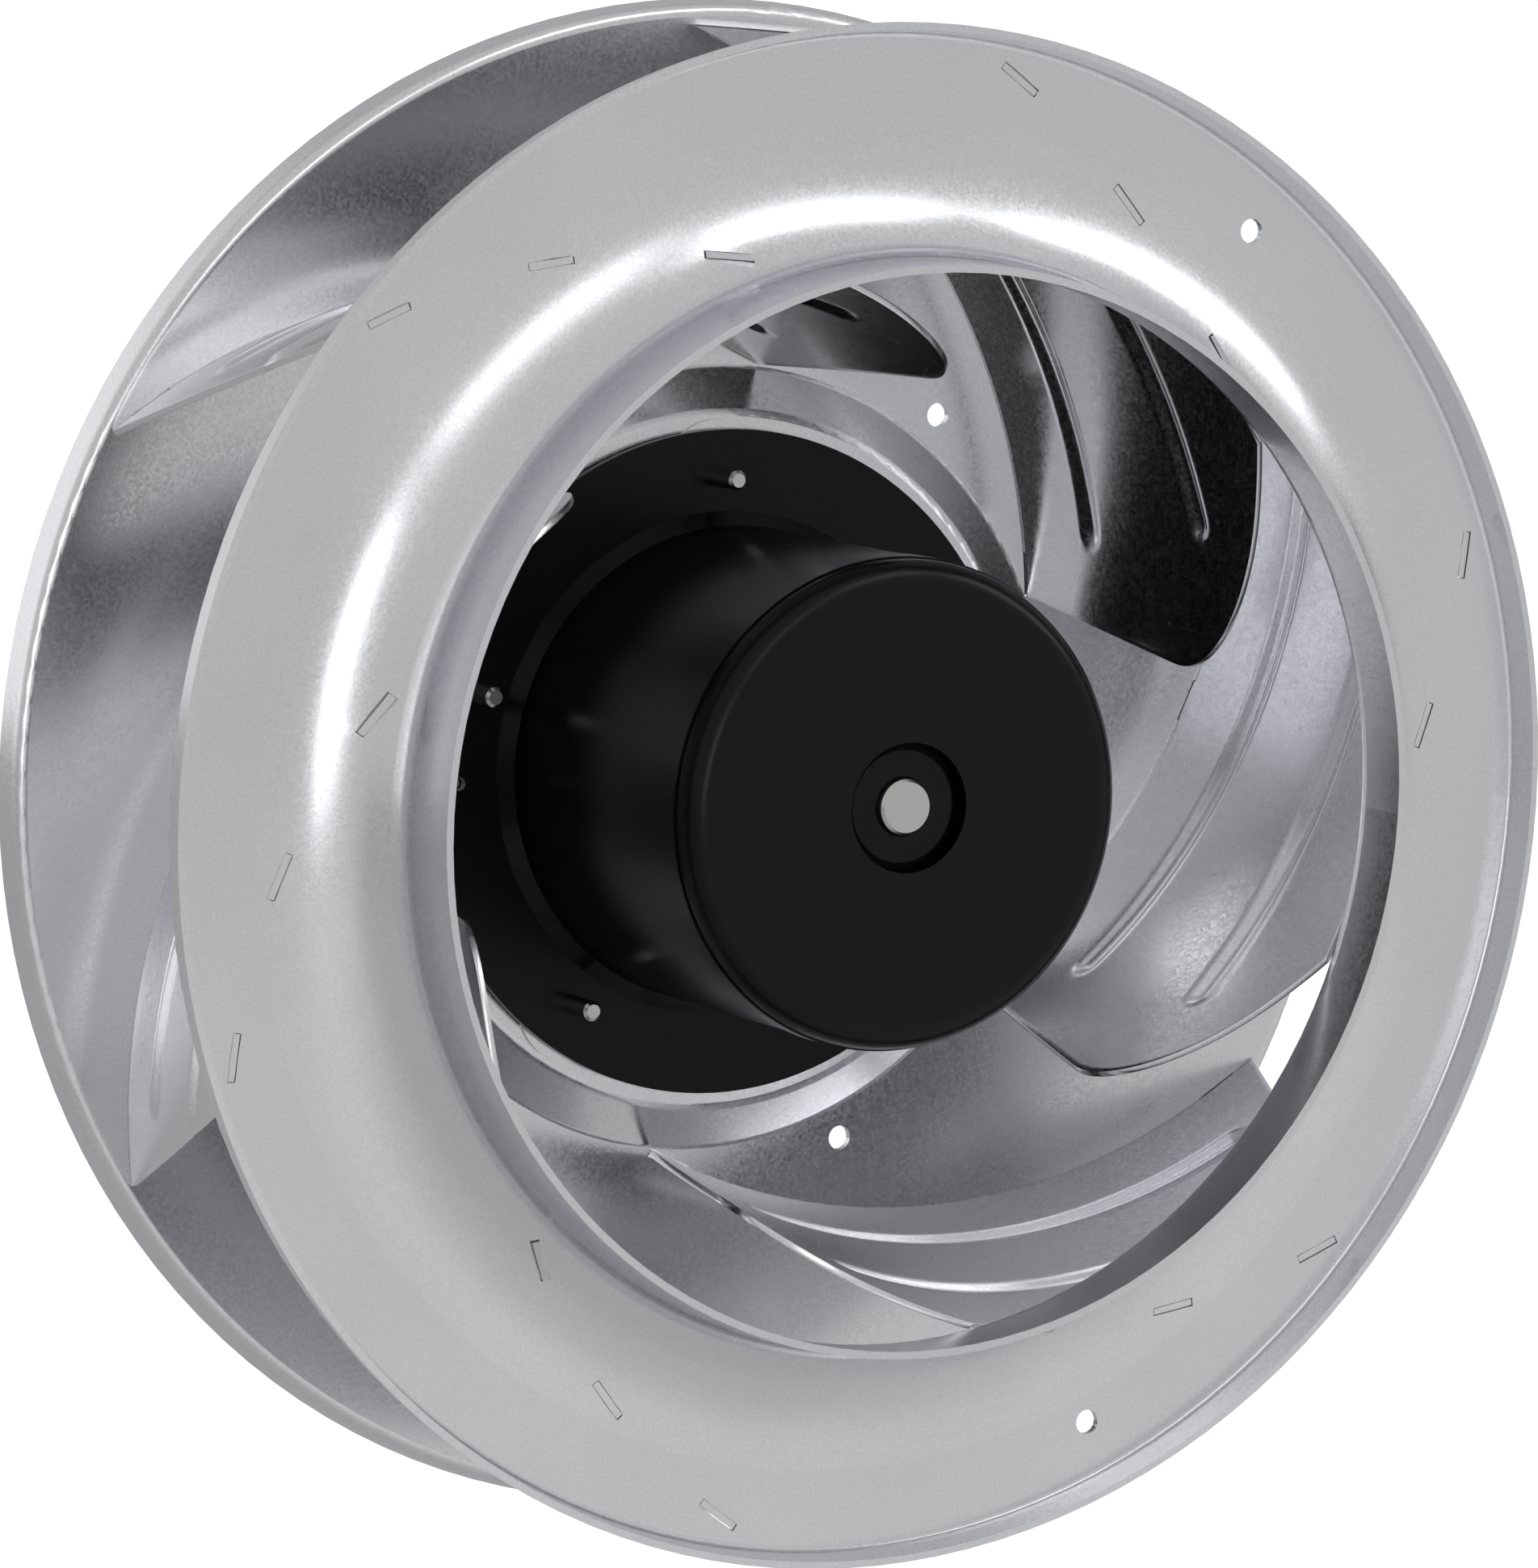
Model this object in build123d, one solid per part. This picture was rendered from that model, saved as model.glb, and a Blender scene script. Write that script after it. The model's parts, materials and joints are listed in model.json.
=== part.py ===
from build123d import *
import math
import os

# Backward-curved centrifugal fan wheel carried by an external-rotor motor.
# Every piece is drawn with the fan axis along Z, the inlet up and the mounting face at Z 0.
# It is then turned so that the inlet faces -Y and the mounting face lies in the plane Y 0.
# Radii are measured from the fan axis, heights from the mounting face, all in millimetres.

# Clearances
seat_gap = 0.1
fit_gap = 0.02
slot_clearance = 0.3
tab_inset = 0.2
screw_hole_clearance = 0.3
overcut = 1.0

# Wheel
rest_turn = -3.69
blade_count = 6
wheel_sheet = 2.2
back_sheet = 2.4
blade_sheet = 2.0
back_face_height = 18.0
wheel_width = 100.8

# Front shroud
shroud_rim_radius = 221.7
shroud_lip_flare = 1.5
shroud_lip_height = 9.6
shroud_lip_fillet = 1.5
bell_corner_radius = 177.2
bell_fillet = 50.0
neck_corner_radius = 159.5
neck_fillet = 10.0
neck_taper = 1.6
mouth_height = 41.4
jig_hole_radius = 3.65
shroud_jig_hole_place = 205.5
back_jig_hole_place = 127.7
jig_hole_angles = (54.9, 294.9)

# Back disc
back_rim_radius = 225.2
back_lip_flare = 1.6
back_lip_depth = 9.0
back_rim_fillet = 4.0
dish_foot_radius = 117.8
dish_top_radius = 104.7
dish_rise = 10.7
dish_top_fillet = 5.0
dish_foot_fillet = 2.5
back_bore_radius = 70.5
pad_radius = 17.0
pad_height = 0.8

# Blades: an arc of sheet set by its middle, leaning as it rises from the back disc
blade_arc_radius = 199.1
blade_middle_radius = 169.3
blade_middle_angle = 6.1
blade_normal_angle = -22.6
blade_lean = (0.169, -0.048)
blade_trim_angle = 8.0
trailing_foot_setback = 4.6
trailing_top_setback = 3.5
leading_foot_gap = 2.0
leading_corner_gap = 8.1
leading_corner_drop = 2.2
leading_corner_fillet = 48.0
leading_neck_overlap = 3.0
tab_length = 13.6
front_tab_setback = 5.7
front_tab_bell_inset = 10.7
back_tab_setback = 7.7
back_middle_tab_shift = 5.7
lower_bead_trailing_setback = 19.1
upper_bead_trailing_setback = 5.4
bead_leading_setback = 18.6
bead_width = 8.5
bead_height = 1.5
bead_bevel = 0.8
groove_bevel = 0.5
lower_bead_heights = (28.0, 29.6, 33.0)
upper_bead_drops = (33.8, 29.6, 15.8)

# Rotor
rotor_radius = 71.5
rotor_length = 113.8
rotor_wall = 5.0
rotor_front_wall = 6.5
rotor_front_fillet = 8.0
rotor_base_fillet = 4.0
rotor_band_radius = 72.1
rotor_band_top = 104.7
rotor_band_bottom = 96.0
rotor_groove_width = 0.8
rotor_groove_depth = 0.5
rotor_recess_radius = 19.0
rotor_recess_depth = 4.0
rotor_hub_radius = 17.0
rotor_hub_length = 14.0
flange_radius = 99.8
flange_thickness = 2.6
spigot_length = 2.0
wheel_screw_count = 5
wheel_screw_place = 85.7
wheel_screw_angle = 22.2
wheel_screw_radius = 3.0
wheel_screw_length = 19.0
wheel_screw_tip = 0.9
hex_across_flats = 10.0
hex_head_height = 4.0
washer_radius = 9.0
washer_thickness = 1.6
flange_hole_place = 87.9
flange_hole_angle = 184.2
flange_hole_radius = 2.2

# Shaft and bearings
shaft_radius = 8.2
shaft_end_below_face = 1.1
shaft_end_chamfer = 0.8
bearing_bore_radius = 7.5
bearing_outer_radius = 17.5
bearing_width = 11.0
bearing_pitch_radius = 12.5
ball_radius = 3.0
ball_count = 8
ball_clearance = 0.05
inner_ring_radius = 10.4
outer_ring_radius = 14.6
cage_half_thickness = 0.8
cage_half_height = 4.0
front_bearing_height = 104.0
rear_bearing_height = 36.0
shaft_shoulder_radius = 9.5
shaft_tail = 5.0
circlip_thickness = 1.2
circlip_depth = 0.8
circlip_radius = 10.5
circlip_gap_width = 5.0
spring_thickness = 2.4

# Stator
tube_radius = 22.0
tube_bore_radius = 15.8
tube_front_height = 117.5
tube_rear_height = 14.0
stack_radius = 61.5
stack_bottom = 56.0
stack_length = 57.0
tooth_count = 12
tooth_width = 8.0
yoke_radius = 34.0
shoe_thickness = 4.0
slot_mouth_width = 4.0
insulator_thickness = 1.5
insulator_inset = 0.6
coil_gap = 0.2
coil_build = 4.0
coil_inner_place = 38.0
coil_radial_length = 17.0
magnet_count = 8
magnet_air_gap = 0.8
magnet_overhang = 2.0
magnet_angle_gap = 2.5

# Stator housing, electronics and cover
disc_radius = 98.0
disc_thickness = 6.0
disc_back_height = 8.5
hub_radius = 34.0
hub_height = 26.0
hub_floor_height = 16.0
labyrinth_radius = 64.0
labyrinth_wall = 4.0
labyrinth_height = 24.0
pot_radius = 74.0
pot_wall = 4.0
pot_depth = 37.0
fin_count = 24
fin_reach = 4.5
fin_thickness = 2.0
fin_end_inset = 3.0
gland_fin_gap_angle = 16.0
boss_radius = 9.0
boss_place = 88.0
boss_count = 4
mount_hole_radius = 2.5
mount_hole_depth = 12.0
pillar_radius = 5.0
pillar_place = 64.5
cover_thickness = 3.0
cover_spigot = 1.0
gasket_thickness = 1.0
cover_screw_radius = 2.0
cover_screw_head_radius = 3.6
cover_screw_head_height = 2.4
cover_screw_length = 14.0
board_radius = 57.0
board_thickness = 1.6
board_height = -10.0
standoff_radius = 3.2
standoff_place = 46.0
standoff_count = 3
standoff_angle = 30.0
board_screw_radius = 1.5
board_screw_head_radius = 2.8
board_screw_head_height = 1.8
board_screw_length = 8.0
capacitor_radius = 9.0
capacitor_length = 22.0
capacitor_place = 26.0
capacitor_count = 3
capacitor_angle = 90.0
capacitor_rounding = 1.2

# Cable gland
gland_height = -16.0
gland_thread_radius = 8.0
gland_bore_radius = 5.5
cable_radius = 4.0
gland_hex_flats = 22.0
gland_hex_length = 6.0
gland_dome_radius = 10.0
gland_dome_length = 12.0
gland_dome_rounding = 4.0
gland_mouth_gap = 0.5
gland_mouth_wall = 2.0
gland_thread_length = 10.0
gland_nut_length = 4.5
gland_seal_length = 8.0

# Derived radii and heights
mouth_radius = neck_corner_radius - neck_taper
shroud_lip_edge_radius = shroud_rim_radius + shroud_lip_flare
back_lip_edge_radius = back_rim_radius + back_lip_flare
trailing_foot_radius = back_rim_radius - trailing_foot_setback
trailing_top_radius = shroud_rim_radius - trailing_top_setback
leading_foot_radius = dish_foot_radius + leading_foot_gap
front_face_height = back_face_height + wheel_width
mouth_top_height = front_face_height + mouth_height
neck_corner_height = front_face_height + bell_corner_radius - neck_corner_radius
flange_front_height = back_face_height + dish_rise
flange_rear_height = flange_front_height - flange_thickness
dish_top_height = flange_rear_height - pad_height
pad_rear_height = flange_rear_height - back_sheet
screw_seat_height = pad_rear_height - washer_thickness
rotor_face_height = flange_front_height + rotor_length
rotor_bore_radius = rotor_radius - rotor_wall
magnet_inner_radius = stack_radius + magnet_air_gap
cover_seat_height = -pot_depth - gasket_thickness
cover_bottom_height = cover_seat_height - cover_thickness


# Helpers for turned and pressed pieces
def turned(outline):
    return revolve(Plane.XZ * make_face(outline), axis=Axis.Z)


def pressed_sheet(front_line, thickness):
    section = Wire(front_line.edges()).offset_2d(thickness, side=Side.RIGHT)
    return revolve(Plane.XZ * Face(section), axis=Axis.Z)


def ring(inner, outer, bottom, top):
    return Pos(0, 0, bottom) * extrude(Circle(outer) - Circle(inner), top - bottom)


def disc(radius, bottom, top):
    return Pos(0, 0, bottom) * extrude(Circle(radius), top - bottom)


def around(count, place, piece, start=0.0):
    step = 360 / count
    return [Rot(0, 0, start + step * k) * Pos(place, 0, 0) * piece for k in range(count)]


def cut_each(body, tools):
    for tool in tools:
        body = body - tool
    return body


def join_each(body, additions):
    for addition in additions:
        body = body + addition
    return body


# Front shroud: the front surface from the mouth down the neck, over the bell and out to the lip
def shroud_front_line():
    corners = [
        (mouth_radius, mouth_top_height),
        (neck_corner_radius, neck_corner_height),
        (bell_corner_radius, front_face_height),
        (shroud_rim_radius, front_face_height),
        (shroud_lip_edge_radius, front_face_height + shroud_lip_height),
    ]
    return FilletPolyline(*corners, radius=[neck_fillet, bell_fillet, shroud_lip_fillet])


# The space behind the shroud's front surface, moved back by a depth
def space_behind_shroud(depth):
    surface = Wire(shroud_front_line().edges()).offset_2d(depth, side=Side.RIGHT, closed=False)
    ends = sorted(surface.vertices(), key=lambda vertex: vertex.X)
    start = ends[0]
    finish = ends[-1]
    top = start.Y + overcut
    side = finish.X + overcut
    closing = Polyline(
        (start.X, start.Y), (start.X, top), (back_bore_radius, top), (back_bore_radius, 0),
        (side, 0), (side, finish.Y), (finish.X, finish.Y),
    )
    face = make_face(list(surface.edges()) + list(closing.edges()))
    return revolve(Plane.XZ * face, axis=Axis.Z)


def make_front_shroud():
    shroud = pressed_sheet(shroud_front_line(), wheel_sheet)
    hole = disc(jig_hole_radius, front_face_height - 2 * wheel_sheet, mouth_top_height)
    places = [Rot(0, 0, a) * Pos(shroud_jig_hole_place, 0, 0) for a in jig_hole_angles]
    shroud = cut_each(shroud, [place * hole for place in places])
    slots = blade_slots(front_tab_angles(), front_face_height - 4 * wheel_sheet, neck_corner_height)
    return cut_each(shroud, slots)


# Back disc: a raised dish carries the rotor flange and the rim is turned back
def make_backplate():
    corners = [
        (back_bore_radius, dish_top_height),
        (dish_top_radius, dish_top_height),
        (dish_foot_radius, back_face_height),
        (back_rim_radius, back_face_height),
        (back_lip_edge_radius, back_face_height - back_lip_depth),
    ]
    line = FilletPolyline(*corners, radius=[dish_top_fillet, dish_foot_fillet, back_rim_fillet])
    plate = pressed_sheet(line, back_sheet)
    pad = disc(pad_radius, dish_top_height - pad_height, flange_rear_height)
    hollow = disc(pad_radius - back_sheet / 2, dish_top_height - back_sheet - overcut, pad_rear_height)
    hole = disc(wheel_screw_radius + screw_hole_clearance, 0, flange_front_height)
    plate = join_each(plate, around(wheel_screw_count, wheel_screw_place, pad, wheel_screw_angle))
    plate = cut_each(plate, around(wheel_screw_count, wheel_screw_place, hollow, wheel_screw_angle))
    plate = cut_each(plate, around(wheel_screw_count, wheel_screw_place, hole, wheel_screw_angle))
    plate = plate - disc(back_bore_radius, 0, flange_front_height)
    jig = disc(jig_hole_radius, 0, back_face_height + overcut)
    plate = cut_each(plate, [Rot(0, 0, a) * Pos(back_jig_hole_place, 0, 0) * jig for a in jig_hole_angles])
    slot_bottom = back_face_height - back_sheet - overcut
    slots = blade_slots(back_tab_angles(), slot_bottom, back_face_height + overcut)
    return cut_each(plate, slots)


# The blade's arc centre at a height above the back disc, placed so that the arc keeps its middle
def arc_centre(rise):
    middle = math.radians(blade_middle_angle)
    normal = math.radians(blade_normal_angle)
    x = blade_middle_radius * math.cos(middle) - blade_arc_radius * math.cos(normal)
    y = blade_middle_radius * math.sin(middle) - blade_arc_radius * math.sin(normal)
    return x + rise * blade_lean[0], y + rise * blade_lean[1]


# The angle along the blade's arc where it crosses a radius from the fan axis
def arc_angle_at(radius, rise):
    x, y = arc_centre(rise)
    reach = math.hypot(x, y)
    cosine = (radius ** 2 - reach ** 2 - blade_arc_radius ** 2) / (2 * reach * blade_arc_radius)
    return math.degrees(math.atan2(y, x) - math.acos(cosine))


def arc_spread(length):
    return math.degrees(length / blade_arc_radius)


# A piece of the leaning, arched blade sheet between two arc angles and two heights
def blade_strip(start_angle, end_angle, inside, outside, bottom, top):
    x, y = arc_centre(bottom - back_face_height)
    turn = end_angle - start_angle
    outer = CenterArc((0, 0), blade_arc_radius + outside, start_angle, turn)
    inner = CenterArc((0, 0), blade_arc_radius + inside, start_angle, turn)
    sides = [Line(outer @ 0, inner @ 0), Line(outer @ 1, inner @ 1)]
    section = make_face(list(outer.edges()) + list(inner.edges()) + [s.edge() for s in sides])
    lean = Vector(blade_lean[0], blade_lean[1], 1) * (top - bottom)
    return Solid.extrude(Pos(x, y, bottom) * section.face(), lean)


# Tabs stand at both ends of each plate's joint with the blade, and one stands between them
def front_tab_angles():
    half = tab_length / 2
    outer = arc_angle_at(trailing_top_radius, wheel_width) - arc_spread(front_tab_setback + half)
    inner = arc_angle_at(bell_corner_radius - front_tab_bell_inset, wheel_width)
    return outer, (outer + inner) / 2, inner


def back_tab_angles():
    half = tab_length / 2
    outer = arc_angle_at(trailing_foot_radius, 0) - arc_spread(back_tab_setback + half)
    inner = arc_angle_at(leading_foot_radius, 0) + arc_spread(tab_inset + half)
    return outer, (outer + inner) / 2 + arc_spread(back_middle_tab_shift), inner


def blade_slots(angles, bottom, top):
    half = blade_sheet / 2 + slot_clearance
    spread = arc_spread(tab_length / 2 + slot_clearance)
    slots = []
    for k in range(blade_count):
        for angle in angles:
            strip = blade_strip(angle - spread, angle + spread, -half, half, bottom, top)
            slots.append(Rot(0, 0, 360 / blade_count * k) * strip)
    return slots


# The blade seen along the fan's circumference: leading edge, foot, trailing edge and open top
def blade_outline():
    foot = back_face_height + seat_gap
    start = (leading_foot_radius, foot)
    corner = (dish_foot_radius + leading_corner_gap, front_face_height - leading_corner_drop)
    neck = (neck_corner_radius + leading_neck_overlap, neck_corner_height + leading_foot_gap)
    leading = FilletPolyline(start, corner, neck, radius=leading_corner_fillet)
    rest = Polyline(
        neck,
        (neck[0], mouth_top_height),
        (trailing_top_radius, mouth_top_height),
        (trailing_top_radius, front_face_height),
        (trailing_foot_radius, foot),
        start,
    )
    return make_face(list(leading.edges()) + list(rest.edges()))


# A long stiffening bead pressed into the curved sheet, with rounded ends and a bevelled crest
def bead_piece(heights, trailing_setback, inside, outside, width, bevel):
    share = heights[0] / wheel_width
    trailing_radius = trailing_foot_radius + share * (trailing_top_radius - trailing_foot_radius)
    start_angle = arc_angle_at(leading_foot_radius, 0) + arc_spread(bead_leading_setback)
    end_angle = arc_angle_at(trailing_radius, heights[0]) - arc_spread(trailing_setback)
    middle = math.radians((start_angle + end_angle) / 2)
    half_turn = math.radians((end_angle - start_angle) / 2)
    reach = blade_arc_radius * math.sin(half_turn)
    outer_height, middle_height, inner_height = heights
    line = ThreePointArc((reach, outer_height), (0, middle_height), (-reach, inner_height))
    x, y = arc_centre(sum(heights) / 3)
    start = blade_arc_radius * math.cos(half_turn) - 2 * bead_width
    toward = (math.cos(middle), math.sin(middle))
    origin = (x + start * toward[0], y + start * toward[1], back_face_height)
    plane = Plane(origin, x_dir=(-toward[1], toward[0], 0), z_dir=(toward[0], toward[1], 0))
    block = extrude(plane * SlotArc(line, width), blade_arc_radius + 2 * bead_width - start)
    low = back_face_height + min(heights) - width
    high = back_face_height + max(heights) + width
    margin = arc_spread(bead_width)
    band = blade_strip(start_angle - margin, end_angle + margin, inside, outside, low, high)
    bead = block & band
    crest = max(bead.faces(), key=lambda face: face.distance_to(Vector(x, y, face.center().Z)))
    return chamfer(crest.edges(), bevel)


def make_blade():
    half = blade_sheet / 2
    bottom = back_face_height - back_sheet
    start_angle = arc_angle_at(leading_foot_radius, 0) - blade_trim_angle
    foot_angle = arc_angle_at(trailing_foot_radius, 0)
    top_angle = arc_angle_at(trailing_top_radius, wheel_width)
    end_angle = max(foot_angle, top_angle) + arc_spread(trailing_foot_setback)
    sheet = blade_strip(start_angle, end_angle, -half, half, bottom, mouth_top_height)
    plan = revolve(Plane.XZ * blade_outline(), axis=Axis.Z)
    blade = sheet & plan & space_behind_shroud(wheel_sheet + seat_gap)
    front_space = space_behind_shroud(tab_inset)
    spread = arc_spread(tab_length / 2)
    for angle in front_tab_angles():
        low = front_face_height - tab_length
        tab = blade_strip(angle - spread, angle + spread, -half, half, low, mouth_top_height)
        blade = blade + (tab & front_space & plan)
    for angle in back_tab_angles():
        high = back_face_height + blade_sheet
        blade = blade + blade_strip(angle - spread, angle + spread, -half, half, bottom + tab_inset, high)
    upper_bead_heights = tuple(wheel_width - drop for drop in upper_bead_drops)
    lower = (lower_bead_heights, lower_bead_trailing_setback)
    upper = (upper_bead_heights, upper_bead_trailing_setback)
    groove_width = bead_width - 1.5 * blade_sheet
    crest = half + bead_height
    hollow = -half + bead_height
    for heights, setback in (lower, upper):
        blade = blade + bead_piece(heights, setback, half - bead_height, crest, bead_width, bead_bevel)
        blade = blade - bead_piece(heights, setback, -half - overcut, hollow, groove_width, groove_bevel)
    return blade


# Rotor: deep drawn cup with a flange for the wheel
def make_rotor_cup():
    face = rotor_face_height
    recess_floor = face - rotor_recess_depth
    inner_top = face - rotor_front_wall
    hub_bottom = face - rotor_hub_length
    band_top = flange_front_height + rotor_band_top
    band_bottom = flange_front_height + rotor_band_bottom
    spigot = back_bore_radius - seat_gap
    outer = [
        (shaft_radius + fit_gap, recess_floor),
        (rotor_recess_radius, recess_floor),
        (rotor_recess_radius, face),
        (rotor_radius - rotor_front_fillet, face),
    ]
    crown = RadiusArc(outer[-1], (rotor_radius, face - rotor_front_fillet), rotor_front_fillet)
    side = [
        (rotor_radius, face - rotor_front_fillet),
        (rotor_radius, band_top + rotor_groove_width),
        (rotor_radius - rotor_groove_depth, band_top + rotor_groove_width),
        (rotor_radius - rotor_groove_depth, band_top),
        (rotor_band_radius, band_top),
        (rotor_band_radius, band_bottom),
        (rotor_radius, band_bottom),
        (rotor_radius, flange_front_height + rotor_base_fillet),
        (rotor_radius + rotor_base_fillet, flange_front_height),
        (flange_radius, flange_front_height),
        (flange_radius, flange_rear_height),
        (spigot, flange_rear_height),
        (spigot, flange_rear_height - spigot_length),
        (rotor_bore_radius, flange_rear_height - spigot_length),
        (rotor_bore_radius, inner_top),
        (rotor_hub_radius, inner_top),
        (rotor_hub_radius, hub_bottom),
        (shaft_radius + fit_gap, hub_bottom),
        outer[0],
    ]
    outline = list(Polyline(*outer).edges()) + [crown.edge()] + list(Polyline(*side).edges())
    cup = turned(outline)
    hole = disc(wheel_screw_radius + fit_gap, 0, flange_front_height + overcut)
    cup = cut_each(cup, around(wheel_screw_count, wheel_screw_place, hole, wheel_screw_angle))
    balance = disc(flange_hole_radius, 0, flange_front_height + overcut)
    return cup - Rot(0, 0, flange_hole_angle) * Pos(flange_hole_place, 0, 0) * balance


def make_wheel_screws():
    head = extrude(RegularPolygon(hex_across_flats / 2, 6, major_radius=False), hex_head_height)
    shank = Cylinder(wheel_screw_radius, wheel_screw_length, align=(Align.CENTER, Align.CENTER, Align.MIN))
    shank = chamfer(shank.edges().sort_by(Axis.Z)[-1], wheel_screw_tip)
    screw = Pos(0, 0, screw_seat_height) * (shank + Pos(0, 0, -hex_head_height) * head)
    return Compound(around(wheel_screw_count, wheel_screw_place, screw, wheel_screw_angle))


def make_wheel_washers():
    washer = ring(wheel_screw_radius + screw_hole_clearance, washer_radius, screw_seat_height, pad_rear_height)
    return Compound(around(wheel_screw_count, wheel_screw_place, washer, wheel_screw_angle))


def make_rotor_magnets():
    bottom = stack_bottom - magnet_overhang
    top = stack_bottom + stack_length + magnet_overhang
    turn = 360 / magnet_count - magnet_angle_gap
    outer = CenterArc((0, 0), rotor_bore_radius - seat_gap, 0, turn)
    inner = CenterArc((0, 0), magnet_inner_radius, 0, turn)
    sides = [Line(outer @ 0, inner @ 0), Line(outer @ 1, inner @ 1)]
    section = make_face(list(outer.edges()) + list(inner.edges()) + [s.edge() for s in sides])
    magnet = Pos(0, 0, bottom) * extrude(section, top - bottom)
    return Compound(around(magnet_count, 0, magnet))


# Shaft, turned down to the bearing bore behind its shoulder
def make_shaft():
    end = rotor_face_height - shaft_end_below_face
    hub_bottom = rotor_face_height - rotor_hub_length
    shoulder = front_bearing_height + bearing_width
    tail = rear_bearing_height - shaft_tail
    groove_top = rear_bearing_height - seat_gap
    groove_bottom = groove_top - circlip_thickness - 2 * fit_gap
    outline = Polyline(
        (0, tail), (bearing_bore_radius - 1, tail), (bearing_bore_radius, tail + 1),
        (bearing_bore_radius, groove_bottom), (bearing_bore_radius - circlip_depth, groove_bottom),
        (bearing_bore_radius - circlip_depth, groove_top), (bearing_bore_radius, groove_top),
        (bearing_bore_radius, shoulder), (shaft_shoulder_radius, shoulder),
        (shaft_shoulder_radius, hub_bottom), (shaft_radius, hub_bottom),
        (shaft_radius, end - shaft_end_chamfer), (shaft_radius - shaft_end_chamfer, end), (0, end), (0, tail),
    )
    return turned(outline.edges())


def make_circlip():
    top = rear_bearing_height - seat_gap - fit_gap
    clip = ring(bearing_bore_radius - circlip_depth + fit_gap, circlip_radius, top - circlip_thickness, top)
    return clip - Pos(circlip_radius, 0, top) * Box(2 * circlip_radius, circlip_gap_width, 4 * circlip_thickness)


# Deep-groove ball bearing
def race(inner, outer, bottom):
    groove = Torus(bearing_pitch_radius, ball_radius + ball_clearance)
    return ring(inner, outer, bottom, bottom + bearing_width) - Pos(0, 0, bottom + bearing_width / 2) * groove


def make_inner_ring(bottom):
    return race(bearing_bore_radius + fit_gap, inner_ring_radius, bottom)


def make_outer_ring(bottom):
    return race(outer_ring_radius, bearing_outer_radius - fit_gap, bottom)


def make_balls(bottom):
    ball = Pos(0, 0, bottom + bearing_width / 2) * Sphere(ball_radius)
    return Compound(around(ball_count, bearing_pitch_radius, ball))


def make_cage(bottom):
    middle = bottom + bearing_width / 2
    inner = bearing_pitch_radius - cage_half_thickness
    outer = bearing_pitch_radius + cage_half_thickness
    cage = ring(inner, outer, middle - cage_half_height, middle + cage_half_height)
    pocket = Rot(0, 90, 0) * Cylinder(ball_radius + ball_clearance, 4 * cage_half_thickness)
    return cut_each(cage, around(ball_count, bearing_pitch_radius, Pos(0, 0, middle) * pocket))


def make_preload_spring():
    top = front_bearing_height - seat_gap
    return ring(tube_bore_radius + seat_gap, bearing_outer_radius - seat_gap, top - spring_thickness, top)


def make_bearing_tube():
    spring_seat = front_bearing_height - spring_thickness - 2 * seat_gap
    tube = ring(tube_bore_radius, tube_radius, tube_rear_height, tube_front_height)
    tube = tube - disc(bearing_outer_radius, spring_seat, tube_front_height + 1)
    return tube - disc(bearing_outer_radius, tube_rear_height - 1, rear_bearing_height + bearing_width + fit_gap)


# Stator stack, insulators and coils
def stack_section(inset):
    shoe_inner = stack_radius - shoe_thickness
    section = Circle(yoke_radius - inset) - Circle(tube_radius + fit_gap)
    tooth = Rectangle(stack_radius - yoke_radius, tooth_width - 2 * inset)
    place = (stack_radius + yoke_radius) / 2 - overcut
    section = join_each(section, around(tooth_count, place, tooth))
    rim = Circle(stack_radius - inset) - Circle(shoe_inner + inset)
    mouth = Rectangle(3 * shoe_thickness, slot_mouth_width + 2 * inset)
    rim = cut_each(rim, around(tooth_count, stack_radius, mouth, 180 / tooth_count))
    return section + rim


def make_lamination_stack():
    return Pos(0, 0, stack_bottom) * extrude(stack_section(0), stack_length)


def make_insulator(bottom):
    return Pos(0, 0, bottom) * extrude(stack_section(insulator_inset), insulator_thickness)


def make_stator_coils():
    window_width = tooth_width + 2 * coil_gap
    window_height = stack_length + 2 * (insulator_thickness + coil_gap)
    outer = RectangleRounded(window_width + 2 * coil_build, window_height + 2 * coil_build, coil_build)
    winding = extrude(outer - Rectangle(window_width, window_height), coil_radial_length)
    plane = Plane((coil_inner_place, 0, stack_bottom + stack_length / 2), x_dir=(0, 1, 0), z_dir=(1, 0, 0))
    return Compound(around(tooth_count, 0, plane * winding))


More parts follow.
